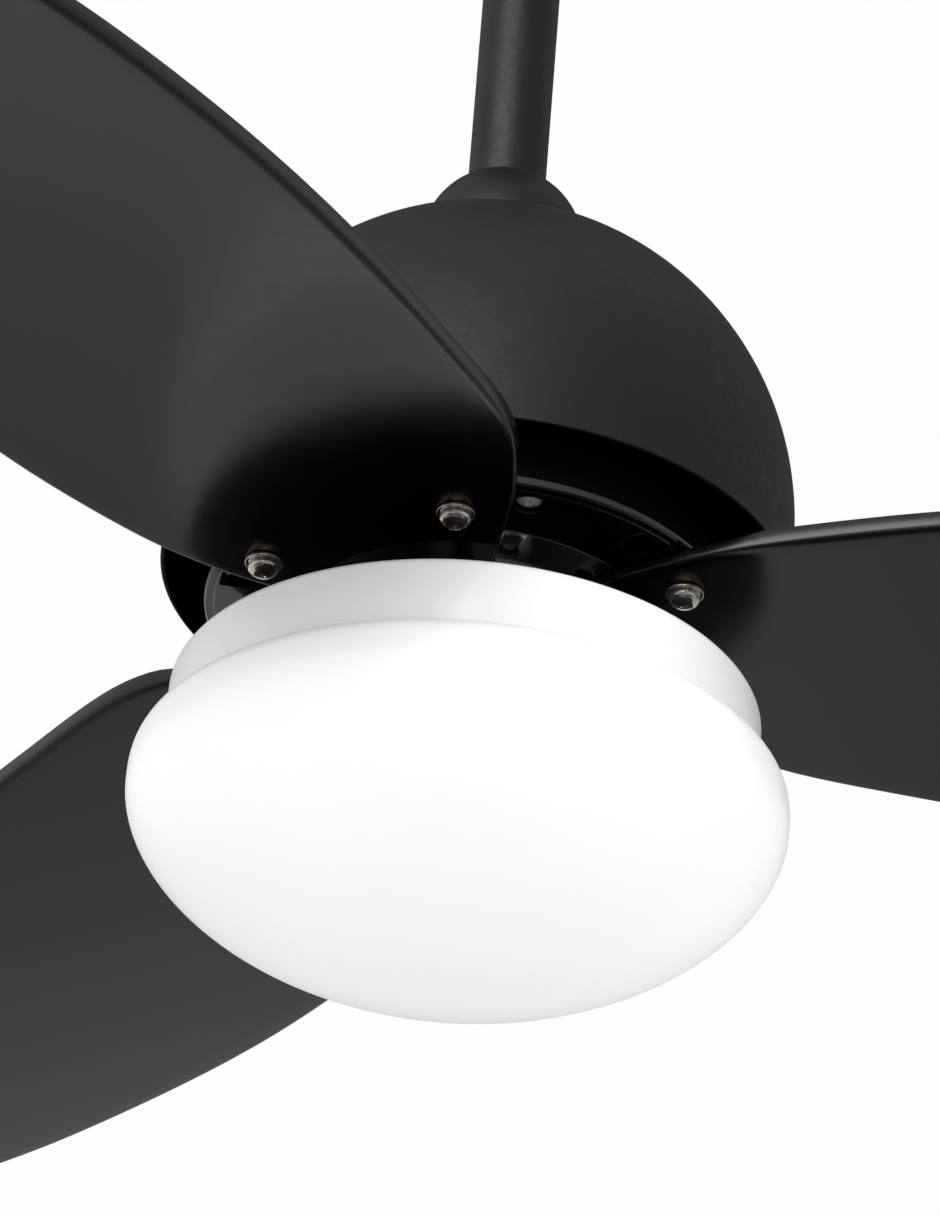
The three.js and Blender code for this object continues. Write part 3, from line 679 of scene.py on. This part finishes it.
def rotor_case():
    """The two halves of the motor's turning case, the upper one with a ring of slots."""
    low = [(10, -11.2), (82, -11.2, 1.5), (82, 17.85), (79, 17.85), (79, -7.5, 2), (24, -7.5, 1), (24, 5),
           (20.3, 5), (20.3, -6.3), (10, -6.3)]
    high = [(10, 41.3), (20.3, 41.3), (20.3, 30), (24, 30), (24, 42.3, 1), (79, 42.3, 2), (79, 18.15),
            (82, 18.15), (82, 46, 3), (10, 46)]
    vents, stretch = [], 7 * MM
    for i in range(12):
        vent = drill(2.6, 36, 50)
        for vert in vent.data.vertices:
            vert.co.x += stretch if vert.co.x > 0 else -stretch
        vents.append(turn_to(turn_to(vent, x=50), about_z=30 * i + 15))
    lower = lathe("rotor_case_lower_turned", low, 0.4)
    upper = cut(lathe("rotor_case_upper_turned", high, 0.4), [merged("vents", vents)])
    # painted shade: the whole motor case is marked, so it is painted near-black all over
    for piece, node in ((lower, "rotor_case_lower"), (upper, "rotor_case_upper")):
        stands_for(mark_painted_shade(piece, lambda r, z: True), node)


def light_pan():
    """The white ring, closed at the top, with three ledges that the bowl's lugs rest on."""
    outline = [(12, -48.5), (91.5, -48.5, 1.2), (91.5, -71, 0.3), (93, -71, 0.5), (93, -47, 2.2), (12, -47)]
    piece = lathe("light_pan_spun", outline, 0.3, FINE_ROUND)
    ledges = [turn_to(tab("ledge", 3, 10, 1.2, 90.2, -69), about_z=THIRD * i) for i in range(3)]
    cut(piece, drilled_ring(2.1, 39, 90, -55, -40) + drilled_ring(1.9, 67, 30, -55, -40))
    cut(piece, ledges, "UNION")

    def pan_painted_shade(r, z):
        """Full painted shade within the pan and on top, and a partial painted shadow line on the rounded
        lower edge.
        """
        return 1.0 if r < 92.2 else 0.45 * (z < -70.6)

    return mark_painted_shade(piece, pan_painted_shade)


def tab(name, x, y, z, at_x, at_z):
    """A small block with rounded edges."""
    block = prism(name, rectangle(x, y), -z / 2, z / 2)
    bevel(block, min(x, y, z) * 0.2, 40, 2)
    return turn_to(block, x=at_x, z=at_z)


def domed(curve, reach):
    """A quarter curve whose middle, within reach of the axis, is a shallow dome of the same slope."""
    first = next(i for i, (r, z) in enumerate(curve) if r < reach)
    (r0, z0), (r1, z1) = curve[first - 1:first + 1]
    bend = (z1 - z0) / (r0 - r1) / (2 * r0)
    return curve[:first] + [(r, z0 + bend * (r0 * r0 - r * r)) for r, z in curve[first:]]


def diffuser():
    """The opal bowl: a shoulder wider than its neck, and three lugs on the neck."""
    shoulder_radius, shoulder, shoulder_top, depth, neck, wall = 103.4, -84, -71.9, 54.2, 88.2, 2.4
    flat_reach = 42  # the bowl's middle is made a shallow dome within this distance of the axis

    def shell(inset, bowl_steps, steps):
        radius, collar = shoulder_radius - inset, neck - inset
        curve = domed(quarter(radius, depth - inset, bowl_steps, (1.73, 1.77)), flat_reach)
        bowl = [(r, shoulder - z) for r, z in curve]
        rise = quarter(radius - collar, shoulder_top - shoulder - inset, steps, (4, 4))
        top = [(collar + r, shoulder + z) for r, z in rise]
        return bowl[::-1] + top[1:]

    outline = [*shell(0, 56, 20), (neck, -62, 0.8), (neck - wall, -62, 0.8), *reversed(shell(wall, 40, 12))]
    piece = lathe("diffuser_bowl", outline, 0.0, FINE_ROUND)
    lugs = [turn_to(tab("lug", 3.5, 10, 1.6, neck + 0.8, -66.4), about_z=THIRD * i) for i in range(3)]
    return cut(piece, lugs, "UNION")


def cover():
    """The cap over the rod's coupling: a little more than half a ball, open where the rod goes through."""
    centre, drop, hole = 128, 3.6, 13

    def arc(radius, steps):
        start, end = math.asin(-drop / radius), math.acos(hole / radius)
        angles = [start + (end - start) * i / steps for i in range(steps + 1)]
        return [(radius * math.cos(a), centre + radius * math.sin(a)) for a in angles]

    outer, inner = arc(26.6, 20), arc(25.1, 16)
    outline = [(*outer[0], 0.3), *outer[1:-1], (*outer[-1], 0.4),
               (*inner[-1], 0.3), *inner[-2:0:-1], (*inner[0], 0.2)]
    return lathe("coupling_cover_spun", outline, 0.0, 96)


def side_hole(x, reach, facets):
    """The cutter for a canopy screw's hole, through the canopy or through the bracket."""
    return turn_to(drill(2.2, -reach, reach, facets), x=x, z=CEILING - 10, about_y=90)


def canopy():
    """The ceiling cap: a straight skirt, rounded in below to the hole that the rod swings in."""
    skirt, hole = 27, 24

    def curve(radius, depth, steps):
        return [(hole + r, CEILING - skirt - z) for r, z in quarter(radius - hole, depth, steps)]

    outer, inner = curve(66, 41, 32), curve(64.5, 39.5, 26)
    outline = [*reversed(outer), (66, CEILING - 0.3, 0.5), (64.5, CEILING - 0.3, 0.3), *inner]
    outline[0] = (*outline[0], 0.5)
    piece = lathe("canopy_spun", outline, 0.0, 160)
    return cut(piece, [side_hole(65 * side, 8, 20) for side in (-1, 1)])


stands_for(dome(), "dome_housing")
stands_for(hub(), "hub_plate")
rotor_case()
stands_for(light_pan(), "light_pan")
stands_for(diffuser(), "diffuser")
stands_for(cover(), "coupling_cover")
stands_for(canopy(), "canopy")


# ---- Blades ----------------------------------------------------------------------------------------------
LEADING_EDGE = [
    (45.4, -38.1), (67.6, -52.2), (97, -64.6), (146, -77), (196, -82.8), (247, -82.7), (297, -78.6),
    (347, -69), (398, -54), (438, -36), (478, -16.5), (506, -1), (520, 8.5), (527, 19),
]
TRAILING_EDGE = [
    (45.4, 38.1), (53.7, 45.4), (74.4, 60.9), (103.7, 75.2), (154, 83.3), (204, 89.5), (255, 93.1),
    (305, 93.4), (355, 89.9), (404, 81), (450, 66), (490, 48), (512, 36), (527, 19),
]
ROOT_RADIUS = 59.3  # the root follows a circle round the boss
ROOT_BLEND = 0.13  # share of the blade over which the round root straightens
STATIONS = 110  # sections along the blade
ACROSS = 26  # faces across its panel
SEAT = -20  # height of the underside at the hub
BEND_START, BEND = 80, 24  # the droop and the twist set in over this length
DROOP = 0.023  # millimetres a millimetre
TWIST = 0.0355  # degrees a millimetre
EDGE = 7.0  # height of the upturned rim over the underside
FILLET = 2.4  # rounding under the rim
PANEL_DROP = 4  # how much lower the panel is than the rim, past the thick root
HUB_RELIEF = 1.8  # how much thinner the blade is where it lies on the hub


def spline(points, share):
    """Point and direction on a smooth curve through the points."""
    spans = len(points) - 1
    place = min(max(share, 0.0), 1.0) * spans
    i = min(int(place), spans - 1)
    t = place - i
    p = [Vector(points[min(max(k, 0), spans)]) for k in (i - 1, i, i + 1, i + 2)]
    v0, v1 = (p[2] - p[0]) / 2, (p[3] - p[1]) / 2
    a, b = 2 * p[1] - 2 * p[2] + v0 + v1, -3 * p[1] + 3 * p[2] - 2 * v0 - v1
    return a * t ** 3 + b * t ** 2 + v0 * t + p[1], 3 * a * t ** 2 + 2 * b * t + v0


def underside(along, across):
    """Height of the blade's underside, flat on the hub and then drooping and twisting."""
    out = min(max(along - BEND_START, 0), BEND) ** 2 / (2 * BEND) + max(along - BEND_START - BEND, 0)
    return SEAT - DROOP * out - across * math.tan(math.radians(TWIST) * out)


def rim_profile(panel):
    """Offsets from the edge and heights, for the underside and for the top, in step."""
    angles = [math.pi / 2 * (1 - i / 8) for i in range(9)]
    below = [(FILLET * (1 - math.sin(a)), FILLET * (1 - math.cos(a))) for a in angles]
    above = [(0, EDGE - 0.9), (0.26, EDGE - 0.26), (0.9, EDGE)]
    if panel > EDGE - 1.2:
        above += [(0.9 + k * 0.5, EDGE) for k in range(1, 7)]
    else:
        above += [(2.1, EDGE), (2.74, EDGE - 0.26), (3, EDGE - 0.9), (3, min(panel + 1.2, EDGE - 1)),
                  (3.35, panel + 0.3), (4.3, panel)]
    return below, above


def blade_mesh(name, degrees):
    """A blade built from sections that run from its leading to its trailing edge."""
    root_front, root_back = Vector(LEADING_EDGE[0]), Vector(TRAILING_EDGE[0])
    front_angle = math.atan2(root_front.y, root_front.x)
    back_angle = math.atan2(root_back.y, root_back.x)
    verts, rows = [], []
    for s in range(STATIONS + 1):
        u = s / STATIONS
        share = 0.5 * u + 0.5 * math.sin(u * math.pi / 2)
        (front, run_front), (back, run_back) = spline(LEADING_EDGE, share), spline(TRAILING_EDGE, share)
        chord = max((back - front).length, 0.02)
        line = (back - front) / chord if chord > 0.03 else Vector((0, 1))
        pull = max(1 - share / ROOT_BLEND, 0) ** 2
        along = (front.x + back.x) / 2
        narrow = min(1.0, chord / 14)
        below, above = rim_profile(EDGE - PANEL_DROP * smooth(along, 150, 172))

        def skew(run):
            """How much longer a width square to the edge is along the section."""
            run = run.normalized() if run.length > 1e-9 else Vector((1, 0))
            return 1 / max(abs(run.x * line.y - run.y * line.x), 0.12)

        offsets = []
        for profile in (below, above):
            front_side = [(min(o * skew(run_front), chord * 0.4), h) for o, h in profile]
            back_side = [(chord - min(o * skew(run_back), chord * 0.4), h) for o, h in profile]
            first, last = front_side[-1][0], back_side[-1][0]
            level = profile[-1][1]
            middle = [(first + (last - first) * k / ACROSS, level) for k in range(1, ACROSS)]
            offsets.append(front_side + middle + back_side[::-1])
        row = []
        for side in offsets:
            for offset, height in side:
                t = offset / chord
                spot = front + line * offset
                angle = front_angle * (1 - t) + back_angle * t
                arc = Vector((ROOT_RADIUS * math.cos(angle), ROOT_RADIUS * math.sin(angle)))
                spot = spot + (arc - root_front.lerp(root_back, t)) * pull
                row.append(len(verts))
                if height > FILLET:
                    thin = HUB_RELIEF * (1 - smooth(spot.length, 97, 112))
                    lift = height - thin * (height - FILLET) / (EDGE - FILLET)
                else:
                    lift = height * (0.3 + 0.7 * narrow)
                verts.append((spot.x, spot.y, underside(spot.x, spot.y) + lift))
        half = len(row) // 2
        rows.append((row[:half], row[half:]))
    faces = []
    for (low_a, high_a), (low_b, high_b) in zip(rows, rows[1:]):
        loop_a, loop_b = low_a + high_a[::-1], low_b + high_b[::-1]
        count = len(loop_a)
        for i in range(count):
            j = (i + 1) % count
            faces.append([loop_a[i], loop_a[j], loop_b[j], loop_b[i]])
    for low, high in (rows[0], rows[-1]):
        for i in range(len(low) - 1):
            faces.append([low[i], low[i + 1], high[i + 1], high[i]])
    piece = build(name, verts, faces)
    distance, spread = BLADE_SCREW
    cut(piece, [turn_to(drill(2.8, -30, -5, 24), *polar(distance, side * spread)) for side in (-1, 1)])
    bevel(piece, 0.45, 62, 3)
    return turn_to(piece, about_z=degrees)


BLADE_SCREW_OUTLINE = [(0, -25.6), (1.5, -25.55), (2.9, -25.2), (4.0, -24.5), (4.75, -23.6), (5.0, -22.8),
                       (4.85, -22.1), (4.3, -21.6), (2.4, -21.5), (2.4, -11.8), (0, -11.8)]
WASHER_OUTLINE = [(3, -21.4, 0.1), (6, -21.4, 0.35), (6, -20.2, 0.3), (3, -20.2, 0.1)]
CASE_SCREW_OUTLINE = pan_head(4.2, 2.2, 2, 3.3, -11.5)

for i in range(3):
    stands_for(blade_mesh(f"blade_{i + 1}_moulded", THIRD * i), f"blade_{i + 1}")
    for k, side in enumerate((-1, 1)):
        number = 2 * i + k + 1
        x, y = polar(BLADE_SCREW[0], THIRD * i + side * BLADE_SCREW[1])
        screw = screw_below(f"blade_screw_{number}_head", BLADE_SCREW_OUTLINE, 56, 1.7, 1.1)
        stands_for(turn_to(turn_to(screw, about_z=17 + 41 * number), x, y), f"blade_screw_{number}")
        washer = lathe(f"blade_washer_{number}_disc", WASHER_OUTLINE, 0.2, 64, 3)
        stands_for(turn_to(washer, x, y), f"blade_washer_{number}")
    x, y = polar(CASE_SCREW[0], THIRD * i + CASE_SCREW[1])
    screw = screw_below(f"case_screw_{i + 1}_head", CASE_SCREW_OUTLINE, 48, 2.0, 1.3)
    stands_for(turn_to(turn_to(screw, about_z=25 * i), x, y), f"case_screw_{i + 1}")


# ---- Rod and suspension ----------------------------------------------------------------------------------
BALL = CEILING - 40  # height of the hanger ball's centre, which the cross pin goes through
CLEVIS = 130  # height of the clevis pin


def downrod():
    """Standard 1 inch pipe, drilled for the cross pin and the clevis pin."""
    top, bottom, bore, radius = CEILING - 28, 116.5, 10.9, 12.7
    outline = [(bore, bottom), (radius, bottom, 0.5), (radius, top, 0.5), (bore, top)]
    across = turn_to(drill(3.3, -15, 15, 24), z=BALL, about_x=90)
    along = turn_to(drill(3.3, -15, 15, 24), z=CLEVIS, about_y=90)
    return cut(lathe("downrod_pipe", outline, 0.3, 96), [across, along])


def hanger_ball():
    """A ball cut off above and below, bored for the rod and drilled for the cross pin and the set screw."""
    radius, bore, steps = 25, 13, 22
    start, end = math.asin(-0.8), math.asin(0.56)
    arc = [start + (end - start) * i / steps for i in range(steps + 1)]
    outer = [(radius * math.cos(a), BALL + radius * math.sin(a)) for a in arc]
    outline = [(bore, BALL - 20, 0.6), (*outer[0], 0.8), *outer[1:-1],
               (*outer[-1], 0.8), (bore, BALL + 14, 0.6)]
    piece = lathe("hanger_ball_turned", outline, 0.0, 96)
    slot = turn_to(drill(3.3, -25, 25, 24), z=BALL, about_x=90)
    screw_hole = turn_to(drill(2.6, 0, 26), z=BALL + 7, about_y=90)
    return cut(piece, [slot, screw_hole])


def bracket():
    """Pressed steel: a slotted plate, a cradle hanging from it and two tabs."""
    half, strap = 62, 2.5

    def slab(x, y, z, at):
        """A block whose centre is given from the middle of the ceiling."""
        return turn_to(prism("slab", rectangle(x, y), -z / 2, z / 2), at[0], at[1], at[2] + CEILING)

    piece = slab(2 * half, 28, strap, (0, 0, -strap / 2))
    piece.name = "hanger_bracket_pressed"
    adds = [slab(65, 56, strap, (0, 0, -strap / 2)), slab(65, 56, strap, (0, 0, strap / 2 - 56))]
    for side in (-1, 1):
        adds.append(slab(strap, 56, 56, (side * 31.25, 0, -28)))
        adds.append(slab(strap, 19.6, 16.5, (side * 60.75, 0, -8.25)))
    cut(piece, adds, "UNION")
    seat = -54.75  # middle of the strap that the ball sits in
    cuts = [turn_to(drill(21.6, -4, 4, 72), z=CEILING + seat), slab(29.4, 56, 4.5, (0, -28, seat)),
            turn_to(drill(6, -4, 4, 32), 16, 15, CEILING - 1)]
    cuts += [slab(16, 6, 4.5, (side * 46, 0, -strap / 2)) for side in (-1, 1)]
    cuts += [side_hole(side * 61, 4, 24) for side in (-1, 1)]
    cut(piece, cuts)
    return bevel(piece, 0.6, 50, 2)


stands_for(downrod(), "downrod")
stands_for(hanger_ball(), "hanger_ball")
stands_for(bracket(), "hanger_bracket")
for i, side in enumerate((1, -1)):
    screw = screw_below(f"canopy_screw_{i + 1}_head", pan_head(4, 2.4, 1.8, 9, 0), 40, 1.9, 1.4)
    placed = turn_to(screw, x=side * 66.3, z=CEILING - 10, about_y=-90 * side)
    stands_for(placed, f"canopy_screw_{i + 1}")


# ---- Everything else keeps its solid, with soft edges and its finish -------------------------------------
def softened(name, node):
    """A node's own solid with its edges broken and its round faces shaded smooth."""
    mesh = node.data.copy()
    mesh.transform(node.matrix_world)
    piece = bpy.data.objects.new(f"{name}_finished", mesh)
    bpy.context.scene.collection.objects.link(piece)
    settle(piece)
    return bevel(piece, 0.2, 50, 2)


for name, node in NODES.items():
    if not node.hide_render:
        stands_for(softened(name, node), name)
